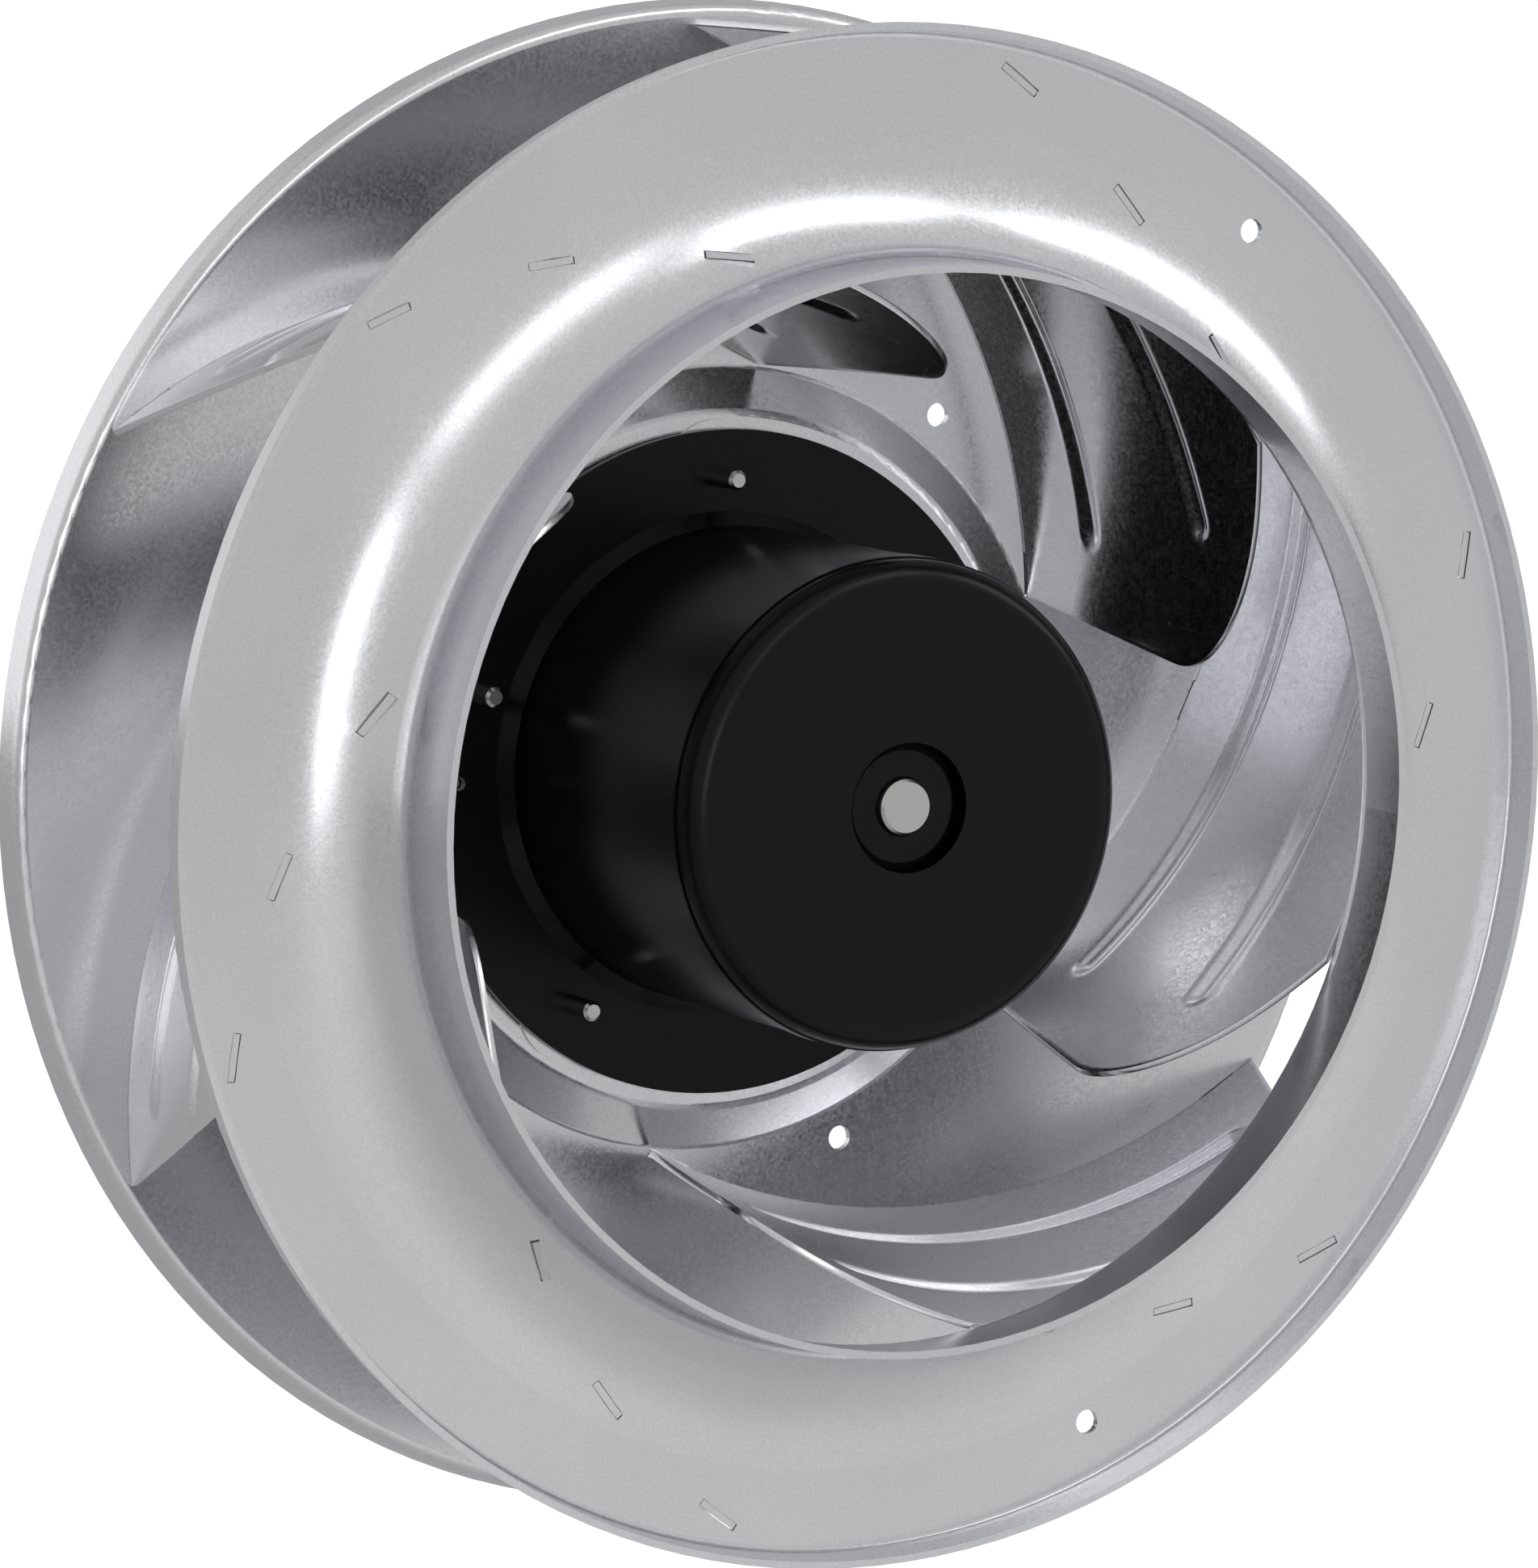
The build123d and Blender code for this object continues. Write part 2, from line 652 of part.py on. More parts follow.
# Cast stator housing with the electronics pot behind the mounting face
def make_stator_housing():
    disc_top = disc_back_height + disc_thickness
    outline = Polyline(
        (tube_radius + fit_gap, disc_back_height), (tube_radius + fit_gap, hub_height),
        (hub_radius, hub_height),
        (hub_radius, hub_floor_height), (labyrinth_radius - labyrinth_wall, hub_floor_height),
        (labyrinth_radius - labyrinth_wall, labyrinth_height), (labyrinth_radius, labyrinth_height),
        (labyrinth_radius, disc_top), (disc_radius, disc_top), (disc_radius, disc_back_height),
        (pot_radius, disc_back_height), (pot_radius, -pot_depth), (pot_radius - pot_wall, -pot_depth),
        (pot_radius - pot_wall, disc_back_height), (tube_radius + fit_gap, disc_back_height),
    )
    housing = turned(outline.edges())
    boss = disc(boss_radius, 0, disc_back_height + overcut)
    housing = join_each(housing, around(boss_count, boss_place, boss, 180 / boss_count))
    hole = disc(mount_hole_radius, -overcut, mount_hole_depth)
    housing = cut_each(housing, around(boss_count, boss_place, hole, 180 / boss_count))
    fin_top = disc_back_height + overcut
    fin_bottom = fin_end_inset - pot_depth
    fin = Pos(pot_radius + (fin_reach - overcut) / 2, 0, (fin_top + fin_bottom) / 2)
    fin = fin * Box(fin_reach + overcut, fin_thickness, fin_top - fin_bottom)
    for k in range(fin_count):
        angle = 360 / fin_count * (k + 0.5)
        if abs(angle - 270) > gland_fin_gap_angle:
            housing = housing + Rot(0, 0, angle) * fin
    pillar = disc(pillar_radius, -pot_depth, disc_back_height + overcut)
    housing = join_each(housing, around(boss_count, pillar_place, pillar, 180 / boss_count))
    screw_top = cover_bottom_height + cover_screw_length + overcut
    tapping = disc(cover_screw_radius + fit_gap, -pot_depth - overcut, screw_top)
    housing = cut_each(housing, around(boss_count, pillar_place, tapping, 180 / boss_count))
    standoff = disc(standoff_radius, board_height + board_thickness / 2, disc_back_height + overcut)
    housing = join_each(housing, around(standoff_count, standoff_place, standoff, standoff_angle))
    tapping_top = board_height + board_screw_length
    board_tapping = disc(board_screw_radius + fit_gap, board_height - overcut, tapping_top)
    housing = cut_each(housing, around(standoff_count, standoff_place, board_tapping, standoff_angle))
    return housing - gland_place() * disc(gland_thread_radius + seat_gap, -pot_wall - overcut, overcut)


def make_circuit_board():
    bottom = board_height - board_thickness / 2
    board = disc(board_radius, bottom, bottom + board_thickness)
    hole = disc(board_screw_radius + screw_hole_clearance, bottom - overcut, bottom + 2 * board_thickness)
    return cut_each(board, around(standoff_count, standoff_place, hole, standoff_angle))


def make_board_capacitors():
    top = board_height - board_thickness / 2
    can = disc(capacitor_radius, top - capacitor_length, top)
    can = fillet(can.edges().sort_by(Axis.Z)[0], capacitor_rounding)
    return Compound(around(capacitor_count, capacitor_place, can, capacitor_angle))


def pan_screw(radius, length, head_radius, head_height):
    shank = Cylinder(radius, length, align=(Align.CENTER, Align.CENTER, Align.MIN))
    head = Cylinder(head_radius, head_height, align=(Align.CENTER, Align.CENTER, Align.MAX))
    head = chamfer(head.edges().sort_by(Axis.Z)[0], head_height / 3)
    return shank + head


def make_board_screws():
    screw = pan_screw(board_screw_radius, board_screw_length, board_screw_head_radius, board_screw_head_height)
    screw = Pos(0, 0, board_height - board_thickness / 2) * screw
    return Compound(around(standoff_count, standoff_place, screw, standoff_angle))


def make_cover_gasket():
    return ring(pot_radius - pot_wall, pot_radius, cover_seat_height, -pot_depth)


def make_housing_cover():
    cover = disc(pot_radius, cover_bottom_height, cover_seat_height)
    cover = fillet(cover.edges().sort_by(Axis.Z)[0], cover_thickness / 2)
    spigot_outer = pot_radius - pot_wall - seat_gap
    spigot = ring(spigot_outer - pot_wall, spigot_outer, cover_seat_height, cover_spigot - pot_depth)
    relief = disc(pillar_radius + overcut, cover_seat_height, 0)
    spigot = cut_each(spigot, around(boss_count, pillar_place, relief, 180 / boss_count))
    pad = disc(pillar_radius, cover_seat_height - overcut, -pot_depth)
    hole = disc(cover_screw_radius + screw_hole_clearance, cover_bottom_height - overcut, 0)
    cover = join_each(cover + spigot, around(boss_count, pillar_place, pad, 180 / boss_count))
    return cut_each(cover, around(boss_count, pillar_place, hole, 180 / boss_count))


def make_cover_screws():
    screw = pan_screw(cover_screw_radius, cover_screw_length, cover_screw_head_radius, cover_screw_head_height)
    screw = Pos(0, 0, cover_bottom_height) * screw
    return Compound(around(boss_count, pillar_place, screw, 180 / boss_count))


# Cable gland in the wall of the pot, on the underside
def gland_place():
    return Plane((0, -pot_radius, gland_height), x_dir=(1, 0, 0), z_dir=(0, -1, 0)).location


def make_cable_gland():
    end = gland_hex_length + gland_dome_length
    hexagon = extrude(RegularPolygon(gland_hex_flats / 2, 6, major_radius=False), gland_hex_length)
    dome = disc(gland_dome_radius, gland_hex_length, end)
    dome = fillet(dome.edges().sort_by(Axis.Z)[-1], gland_dome_rounding)
    thread = disc(gland_thread_radius, -gland_thread_length, 0)
    bore = disc(gland_bore_radius, -gland_thread_length - overcut, end - gland_mouth_wall)
    mouth = disc(cable_radius + gland_mouth_gap, 0, end + overcut)
    return gland_place() * (thread + hexagon + dome - bore - mouth)


def make_gland_seal():
    bottom = gland_hex_length
    seal = ring(cable_radius, gland_bore_radius - seat_gap, bottom, bottom + gland_seal_length)
    return gland_place() * seal


def make_gland_nut():
    nut = extrude(RegularPolygon(gland_hex_flats / 2, 6, major_radius=False), gland_nut_length)
    nut = nut - disc(gland_thread_radius + fit_gap, -overcut, gland_nut_length + overcut)
    corner = gland_hex_flats / math.sqrt(3)
    seat = math.sqrt((pot_radius - pot_wall) ** 2 - corner ** 2) - seat_gap
    return gland_place() * Pos(0, 0, seat - pot_radius - gland_nut_length) * nut


def build_pieces():
    on_wheel = {
        "front_shroud": make_front_shroud(),
        "backplate": make_backplate(),
        "rotor_cup": make_rotor_cup(),
        "wheel_screws": make_wheel_screws(),
        "wheel_washers": make_wheel_washers(),
        "rotor_magnets": make_rotor_magnets(),
        "shaft": make_shaft(),
        "shaft_circlip": make_circlip(),
        "front_bearing_inner_ring": make_inner_ring(front_bearing_height),
        "rear_bearing_inner_ring": make_inner_ring(rear_bearing_height),
    }
    blade = make_blade()
    for k in range(blade_count):
        on_wheel[f"blade_{k + 1}"] = Rot(0, 0, 360 / blade_count * k) * blade
    pieces = {name: Rot(0, 0, rest_turn) * piece for name, piece in on_wheel.items()}
    pieces.update({
        "front_bearing_outer_ring": make_outer_ring(front_bearing_height),
        "rear_bearing_outer_ring": make_outer_ring(rear_bearing_height),
        "front_bearing_balls": make_balls(front_bearing_height),
        "rear_bearing_balls": make_balls(rear_bearing_height),
        "front_bearing_cage": make_cage(front_bearing_height),
        "rear_bearing_cage": make_cage(rear_bearing_height),
        "preload_spring": make_preload_spring(),
        "bearing_tube": make_bearing_tube(),
        "lamination_stack": make_lamination_stack(),
        "front_insulator": make_insulator(stack_bottom + stack_length),
        "rear_insulator": make_insulator(stack_bottom - insulator_thickness),
        "stator_coils": make_stator_coils(),
        "stator_housing": make_stator_housing(),
        "circuit_board": make_circuit_board(),
        "board_capacitors": make_board_capacitors(),
        "board_screws": make_board_screws(),
        "cover_gasket": make_cover_gasket(),
        "housing_cover": make_housing_cover(),
        "cover_screws": make_cover_screws(),
        "cable_gland": make_cable_gland(),
        "gland_seal": make_gland_seal(),
        "gland_nut": make_gland_nut(),
    })
    return pieces


os.makedirs("parts", exist_ok=True)
for name, piece in build_pieces().items():
    export_step(Rot(90, 0, 0) * piece, f"parts/{name}.step")
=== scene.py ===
# %% [markdown]
# A centrifugal fan wheel: a bell-shaped inlet ring, six curved blades and a back disc, all of
# satin aluminium sheet, carried by a black motor whose rotor turns with the wheel.
# The construction is already there as a frame of solid pieces. This lesson dresses it: a camera and
# studio, finishes for every piece, and finer pieces where a smooth press line is worth modelling.

# %% Load the frame
import json
import math

import bmesh
import bpy
from mathutils import Matrix, Vector


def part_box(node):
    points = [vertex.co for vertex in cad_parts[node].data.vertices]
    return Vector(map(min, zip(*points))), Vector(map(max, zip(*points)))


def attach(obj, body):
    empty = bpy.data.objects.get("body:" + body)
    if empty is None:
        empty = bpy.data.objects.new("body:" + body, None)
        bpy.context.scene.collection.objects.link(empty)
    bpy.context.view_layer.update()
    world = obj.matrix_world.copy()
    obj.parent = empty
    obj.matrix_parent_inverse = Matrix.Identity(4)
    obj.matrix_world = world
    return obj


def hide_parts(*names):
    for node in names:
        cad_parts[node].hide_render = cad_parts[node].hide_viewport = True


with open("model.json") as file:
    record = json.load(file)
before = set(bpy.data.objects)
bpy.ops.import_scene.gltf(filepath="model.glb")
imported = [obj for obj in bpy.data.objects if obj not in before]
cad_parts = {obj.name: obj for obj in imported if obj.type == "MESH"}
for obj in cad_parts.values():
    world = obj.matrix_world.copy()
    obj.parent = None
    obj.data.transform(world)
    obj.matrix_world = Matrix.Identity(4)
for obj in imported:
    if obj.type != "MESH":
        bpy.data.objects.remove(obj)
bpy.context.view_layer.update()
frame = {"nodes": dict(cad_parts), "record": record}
nodes = frame["nodes"]
MM = 0.001

# %% [markdown]
# The camera comes first, because every later choice is judged through it. It stands low on the left
# of the inlet and looks slightly down. A long lens keeps the circles nearly round, so the place and
# the aim are given as real distances, and the lens follows from the picture's height.

# %% Camera
PICTURE_HEIGHT = 1941
FOCAL_PIXELS = 11718.1
SENSOR = 36.0
LIP_CENTRE = Vector((0, -0.128, 0))
CAMERA_OFFSET = Vector((-1.32858, -2.36736, 0.37157))
CAMERA_AIM = Vector((0.47433, 0.87013, -0.13373))

lens = bpy.data.cameras.new("studio_camera")
lens.sensor_width = SENSOR
lens.lens = SENSOR * FOCAL_PIXELS / PICTURE_HEIGHT
camera = bpy.data.objects.new("studio_camera", lens)
bpy.context.scene.collection.objects.link(camera)
camera.location = LIP_CENTRE + CAMERA_OFFSET
camera.rotation_mode = "QUATERNION"
camera.rotation_quaternion = CAMERA_AIM.to_track_quat("-Z", "Y")
bpy.context.scene.camera = camera
print("camera: lens", round(lens.lens, 1), "mm")

# %% [markdown]
# The studio is a pale floor, a plain white surround and a few large soft lamps. Metal shows what is
# around it, so the surround is white for what the camera and the reflections see, and a softer grey
# for the light that falls on matt surfaces.

# %% Surround
SOFT_LIGHT = 0.6
SHADE_START = 0.0
SHADE_END = 0.4
SHADE_LEVEL = 0.44
MIRRORED_LIGHT = 0.57
LEFT_GLOW = 0.55
LEFT_GLOW_TOWARD = (-0.8, 0.6, 0.0)
LEFT_GLOW_REACH = (0.4, 0.95)


def add(tree, kind, **values):
    node = tree.nodes.new(kind)
    for key, value in values.items():
        if key in node.inputs:
            node.inputs[key].default_value = value
        else:
            setattr(node, key, value)
    return node


def link(tree, source, target):
    tree.links.new(source, target)


def either(tree, first, second):
    switch = add(tree, "ShaderNodeMath", operation="MAXIMUM")
    link(tree, first, switch.inputs[0])
    link(tree, second, switch.inputs[1])
    return switch.outputs[0]


scene = bpy.context.scene
scene.view_settings.view_transform = "Standard"
world = bpy.data.worlds.new("studio")
scene.world = world
world.use_nodes = True
tree = world.node_tree
tree.nodes.clear()
ray = add(tree, "ShaderNodeLightPath")
place = add(tree, "ShaderNodeTexCoord")
parts = add(tree, "ShaderNodeSeparateXYZ")
shade = add(tree, "ShaderNodeMapRange")
shade.inputs["From Min"].default_value = SHADE_START
shade.inputs["From Max"].default_value = SHADE_END
shade.inputs["To Min"].default_value = MIRRORED_LIGHT
shade.inputs["To Max"].default_value = SHADE_LEVEL
link(tree, place.outputs["Generated"], parts.inputs[0])
link(tree, parts.outputs["Y"], shade.inputs["Value"])
mirrored = add(tree, "ShaderNodeBackground")
leftward = add(tree, "ShaderNodeVectorMath", operation="DOT_PRODUCT")
leftward.inputs[1].default_value = LEFT_GLOW_TOWARD
glow = add(tree, "ShaderNodeMapRange", interpolation_type="SMOOTHSTEP")
glow.inputs["From Min"].default_value = LEFT_GLOW_REACH[0]
glow.inputs["From Max"].default_value = LEFT_GLOW_REACH[1]
glow.inputs["To Min"].default_value = 0.0
glow.inputs["To Max"].default_value = LEFT_GLOW
both = add(tree, "ShaderNodeMath", operation="ADD")
link(tree, place.outputs["Generated"], leftward.inputs[0])
link(tree, leftward.outputs["Value"], glow.inputs["Value"])
link(tree, shade.outputs[0], both.inputs[0])
link(tree, glow.outputs[0], both.inputs[1])
link(tree, both.outputs[0], mirrored.inputs["Strength"])
soft_light = add(tree, "ShaderNodeBackground", Strength=SOFT_LIGHT)
white = add(tree, "ShaderNodeBackground", Strength=1.0)
for background in (mirrored, soft_light, white):
    background.inputs["Color"].default_value = (1, 1, 1, 1)
direct = add(tree, "ShaderNodeMixShader")
whole = add(tree, "ShaderNodeMixShader")
out = add(tree, "ShaderNodeOutputWorld")
link(tree, ray.outputs["Is Glossy Ray"], direct.inputs["Fac"])
link(tree, soft_light.outputs[0], direct.inputs[1])
link(tree, mirrored.outputs[0], direct.inputs[2])
link(tree, either(tree, ray.outputs["Is Camera Ray"], ray.outputs["Is Transmission Ray"]), whole.inputs["Fac"])
link(tree, direct.outputs[0], whole.inputs[1])
link(tree, white.outputs[0], whole.inputs[2])
link(tree, whole.outputs[0], out.inputs["Surface"])
print("surround: white to the eye, shaded behind the fan in reflections")


# %% Floor
def shader_material(name):
    material = bpy.data.materials.new(name)
    material.use_nodes = True
    return material, material.node_tree, material.node_tree.nodes["Principled BSDF"]


FLOOR_HEIGHT = -0.62
FLOOR_SIZE = 30.0
FLOOR_LIFT = 0.75
FLOOR_GLOSS_LIFT = (0.0, 0.18)
FLOOR_GLOSS_REACH = (0.0, 0.8)
FLOOR_GLOSS_TURN = math.radians(40)
mesh = bpy.data.meshes.new("floor")
shape = bmesh.new()
bmesh.ops.create_grid(shape, x_segments=1, y_segments=1, size=FLOOR_SIZE)
bmesh.ops.translate(shape, verts=shape.verts, vec=(0, 0, FLOOR_HEIGHT))
shape.to_mesh(mesh)
shape.free()
floor = bpy.data.objects.new("floor", mesh)
scene.collection.objects.link(floor)
pale, tree, bsdf = shader_material("pale_floor")
bsdf.inputs["Base Color"].default_value = (0.62, 0.62, 0.62, 1)
bsdf.inputs["Roughness"].default_value = 0.8
bsdf.inputs["Specular IOR Level"].default_value = 0.1
bsdf.inputs["Emission Color"].default_value = (1, 1, 1, 1)
ray = add(tree, "ShaderNodeLightPath")
seen = add(tree, "ShaderNodeMath", operation="MULTIPLY")
seen.inputs[1].default_value = FLOOR_LIFT
glossed = add(tree, "ShaderNodeMath", operation="MULTIPLY_ADD")
place = add(tree, "ShaderNodeTexCoord")
forward = add(tree, "ShaderNodeVectorMath", operation="DOT_PRODUCT")
forward.inputs[1].default_value = (math.sin(FLOOR_GLOSS_TURN), -math.cos(FLOOR_GLOSS_TURN), 0)
glow = add(tree, "ShaderNodeMapRange", interpolation_type="SMOOTHSTEP")
glow.inputs["From Min"].default_value = FLOOR_GLOSS_REACH[0]
glow.inputs["From Max"].default_value = FLOOR_GLOSS_REACH[1]
glow.inputs["To Min"].default_value = FLOOR_GLOSS_LIFT[0]
glow.inputs["To Max"].default_value = FLOOR_GLOSS_LIFT[1]
link(tree, place.outputs["Object"], forward.inputs[0])
link(tree, forward.outputs["Value"], glow.inputs["Value"])
link(tree, glow.outputs[0], glossed.inputs[1])
link(tree, ray.outputs["Is Camera Ray"], seen.inputs[0])
link(tree, ray.outputs["Is Glossy Ray"], glossed.inputs[0])
link(tree, seen.outputs[0], glossed.inputs[2])
link(tree, glossed.outputs[0], bsdf.inputs["Emission Strength"])
mesh.materials.append(pale)
print("floor at", FLOOR_HEIGHT, "m")


# %% Lamps
def toward(turn, rise):
    turn = math.radians(turn)
    rise = math.radians(rise)
    return Vector((math.sin(turn) * math.cos(rise), -math.cos(turn) * math.cos(rise), math.sin(rise)))


def facing_fan(away, along):
    up = away.cross(along).normalized()
    side = up.cross(away)
    return Matrix((side, up, away)).transposed()


def strip_lamp(name, start, end, distance, width, brightness):
    first = toward(*start)
    last = toward(*end)
    away = (first + last).normalized()
    length = (last - first).length * distance
    light = bpy.data.lights.new(name, "AREA")
    light.shape = "RECTANGLE"
    light.size = length
    light.size_y = width
    light.energy = brightness * math.pi * length * width
    holder = bpy.data.objects.new(name, light)
    scene.collection.objects.link(holder)
    turn = facing_fan(away, last - first)
    holder.matrix_world = Matrix.Translation(LIP_CENTRE + away * distance) @ turn.to_4x4()
    holder.visible_camera = False
    return holder


strip_lamp("left_foot", (-26, -4), (-17, 17), 2.6, 0.5, 2.27)
strip_lamp("left_shoulder", (-13, 24), (8, 42), 2.6, 0.5, 1.25)
strip_lamp("top_bar", (12, 49), (58, 49), 2.6, 0.6, 1.59)
strip_lamp("right_bar", (66, 44), (68, 12), 2.6, 0.55, 2.05)
print("lamps: 4")

# %% [markdown]
# A black flag stands at the right, just outside the picture. Bright metal without something dark to
# mirror looks flat, and the flag draws the dark line along the far side of the neck.

# %% Flag
FLAG_DISTANCE = 2.6
mesh = bpy.data.meshes.new("flag")
shape = bmesh.new()
bmesh.ops.create_grid(shape, x_segments=1, y_segments=1, size=0.5)
bmesh.ops.scale(shape, verts=shape.verts, vec=(1.2, 1.3, 1.0))
away = toward(88, -7)
turn = facing_fan(away, Vector((0, 1, 0)))
bmesh.ops.transform(shape, verts=shape.verts, matrix=Matrix.Translation(away * FLAG_DISTANCE) @ turn.to_4x4())
shape.to_mesh(mesh)
shape.free()
flag = bpy.data.objects.new("flag", mesh)
scene.collection.objects.link(flag)
flag.visible_camera = False
flag.visible_shadow = False
black, tree, bsdf = shader_material("flag_black")
bsdf.inputs["Base Color"].default_value = (0.02, 0.02, 0.02, 1)
bsdf.inputs["Roughness"].default_value = 0.9
bsdf.inputs["Specular IOR Level"].default_value = 0.0
mesh.materials.append(black)
print("flag: 1.2 by 1.3 m")

# %% [markdown]
# Finishes share a few effects, and each effect is a node group with named inputs. The sheet's grain
# is the most important one: rolled and coated sheet has fine flakes that catch the light, which
# shows as sparkle wherever a highlight ends.


# %% Node group helpers
def new_group(name, inputs, outputs):
    group = bpy.data.node_groups.new(name, "ShaderNodeTree")
    for label, kind, value in inputs:
        socket = group.interface.new_socket(name=label, in_out="INPUT", socket_type=kind)
        socket.default_value = value
    for label, kind in outputs:
        group.interface.new_socket(name=label, in_out="OUTPUT", socket_type=kind)
    enter = group.nodes.new("NodeGroupInput")
    leave = group.nodes.new("NodeGroupOutput")
    return group, enter, leave



# %% Sheet grain group
def make_grain_group():
    group, enter, leave = new_group(
        "sheet_grain",
        [
            ("Flake Size", "NodeSocketFloat", 0.0006),
            ("Colour", "NodeSocketColor", (0.5, 0.5, 0.5, 1)),
            ("Colour Spread", "NodeSocketFloat", 0.1),
            ("Roughness", "NodeSocketFloat", 0.3),
            ("Roughness Spread", "NodeSocketFloat", 0.1),
        ],
        [("Colour", "NodeSocketColor"), ("Roughness", "NodeSocketFloat"), ("Height", "NodeSocketFloat")],
    )
    place = add(group, "ShaderNodeTexCoord")
    count = add(group, "ShaderNodeMath", operation="DIVIDE")
    count.inputs[0].default_value = 1.0
    flakes = add(group, "ShaderNodeTexNoise", noise_dimensions="3D", Detail=2.0, Roughness=0.6)
    cells = add(group, "ShaderNodeTexVoronoi", feature="F1")
    clouds = add(group, "ShaderNodeTexNoise", noise_dimensions="3D", Scale=14.0, Detail=2.0)
    link(group, enter.outputs["Flake Size"], count.inputs[1])
    for texture in (flakes, cells):
        link(group, place.outputs["Object"], texture.inputs["Vector"])
        link(group, count.outputs[0], texture.inputs["Scale"])
    link(group, place.outputs["Object"], clouds.inputs["Vector"])
    tone = add(group, "ShaderNodeMapRange")
    tone.inputs["From Min"].default_value = 0.3
    tone.inputs["From Max"].default_value = 0.7
    low = add(group, "ShaderNodeMath", operation="SUBTRACT")
    low.inputs[0].default_value = 1.0
    high = add(group, "ShaderNodeMath", operation="ADD")
    high.inputs[0].default_value = 1.0
    link(group, enter.outputs["Colour Spread"], low.inputs[1])
    link(group, enter.outputs["Colour Spread"], high.inputs[1])
    link(group, low.outputs[0], tone.inputs["To Min"])
    link(group, high.outputs[0], tone.inputs["To Max"])
    blend = add(group, "ShaderNodeMix", data_type="FLOAT")
    blend.inputs["Factor"].default_value = 0.35
    link(group, flakes.outputs["Fac"], blend.inputs[2])
    link(group, clouds.outputs["Fac"], blend.inputs[3])
    link(group, blend.outputs[0], tone.inputs["Value"])
    tint = add(group, "ShaderNodeVectorMath", operation="SCALE")
    link(group, enter.outputs["Colour"], tint.inputs[0])
    link(group, tone.outputs[0], tint.inputs["Scale"])
    link(group, tint.outputs[0], leave.inputs["Colour"])
    shift = add(group, "ShaderNodeMath", operation="MULTIPLY_ADD")
    centred = add(group, "ShaderNodeMath", operation="SUBTRACT")
    centred.inputs[1].default_value = 0.5
    link(group, cells.outputs["Color"], centred.inputs[0])
    link(group, centred.outputs[0], shift.inputs[0])
    link(group, enter.outputs["Roughness Spread"], shift.inputs[1])
    link(group, enter.outputs["Roughness"], shift.inputs[2])
    link(group, shift.outputs[0], leave.inputs["Roughness"])
    link(group, flakes.outputs["Fac"], leave.inputs["Height"])
    return group


grain_group = make_grain_group()
print("group:", grain_group.name)


# %% Turned surface group
def make_turned_group():
    group, enter, leave = new_group(
        "turned_rings",
        [
            ("Ring Pitch", "NodeSocketFloat", 0.0004),
            ("Colour", "NodeSocketColor", (0.6, 0.6, 0.6, 1)),
            ("Roughness", "NodeSocketFloat", 0.25),
        ],
        [("Colour", "NodeSocketColor"), ("Roughness", "NodeSocketFloat"), ("Height", "NodeSocketFloat")],
    )
    place = add(group, "ShaderNodeTexCoord")
    parts = add(group, "ShaderNodeSeparateXYZ")
    link(group, place.outputs["Object"], parts.inputs[0])
    flat = add(group, "ShaderNodeCombineXYZ")
    link(group, parts.outputs["X"], flat.inputs["X"])
    link(group, parts.outputs["Z"], flat.inputs["Z"])
    reach = add(group, "ShaderNodeVectorMath", operation="LENGTH")
    link(group, flat.outputs[0], reach.inputs[0])
    path = add(group, "ShaderNodeMath", operation="ADD")
    link(group, reach.outputs["Value"], path.inputs[0])
    link(group, parts.outputs["Y"], path.inputs[1])
    count = add(group, "ShaderNodeMath", operation="DIVIDE")
    link(group, path.outputs[0], count.inputs[0])
    link(group, enter.outputs["Ring Pitch"], count.inputs[1])
    rings = add(group, "ShaderNodeTexNoise", noise_dimensions="1D", Scale=1.0, Detail=3.0)
    link(group, count.outputs[0], rings.inputs["W"])
    tone = add(group, "ShaderNodeMapRange")
    tone.inputs["To Min"].default_value = 0.85
    tone.inputs["To Max"].default_value = 1.15
    link(group, rings.outputs["Fac"], tone.inputs["Value"])
    tint = add(group, "ShaderNodeVectorMath", operation="SCALE")
    link(group, enter.outputs["Colour"], tint.inputs[0])
    link(group, tone.outputs[0], tint.inputs["Scale"])
    link(group, tint.outputs[0], leave.inputs["Colour"])
    rough = add(group, "ShaderNodeMath", operation="MULTIPLY")
    link(group, tone.outputs[0], rough.inputs[0])
    link(group, enter.outputs["Roughness"], rough.inputs[1])
    link(group, rough.outputs[0], leave.inputs["Roughness"])
    link(group, rings.outputs["Fac"], leave.inputs["Height"])
    return group


turned_group = make_turned_group()
print("group:", turned_group.name)


# %% Finishes
def finish_material(name, group, settings, metallic, bump, depth=0.00002):
    material, tree, bsdf = shader_material(name)
    effect = add(tree, "ShaderNodeGroup", node_tree=group)
    for label, value in settings.items():
        effect.inputs[label].default_value = value
    bumps = add(tree, "ShaderNodeBump")
    bumps.inputs["Strength"].default_value = bump
    bumps.inputs["Distance"].default_value = depth
    link(tree, effect.outputs["Colour"], bsdf.inputs["Base Color"])
    link(tree, effect.outputs["Roughness"], bsdf.inputs["Roughness"])
    link(tree, effect.outputs["Height"], bumps.inputs["Height"])
    link(tree, bumps.outputs["Normal"], bsdf.inputs["Normal"])
    bsdf.inputs["Metallic"].default_value = metallic
    return material


def grainy(name, colour, spread, roughness, rough_spread, flake, metallic, bump, depth=0.00002):
    settings = {
        "Flake Size": flake,
        "Colour": (*colour, 1),
        "Colour Spread": spread,
        "Roughness": roughness,
        "Roughness Spread": rough_spread,
    }
    return finish_material(name, grain_group, settings, metallic, bump, depth)


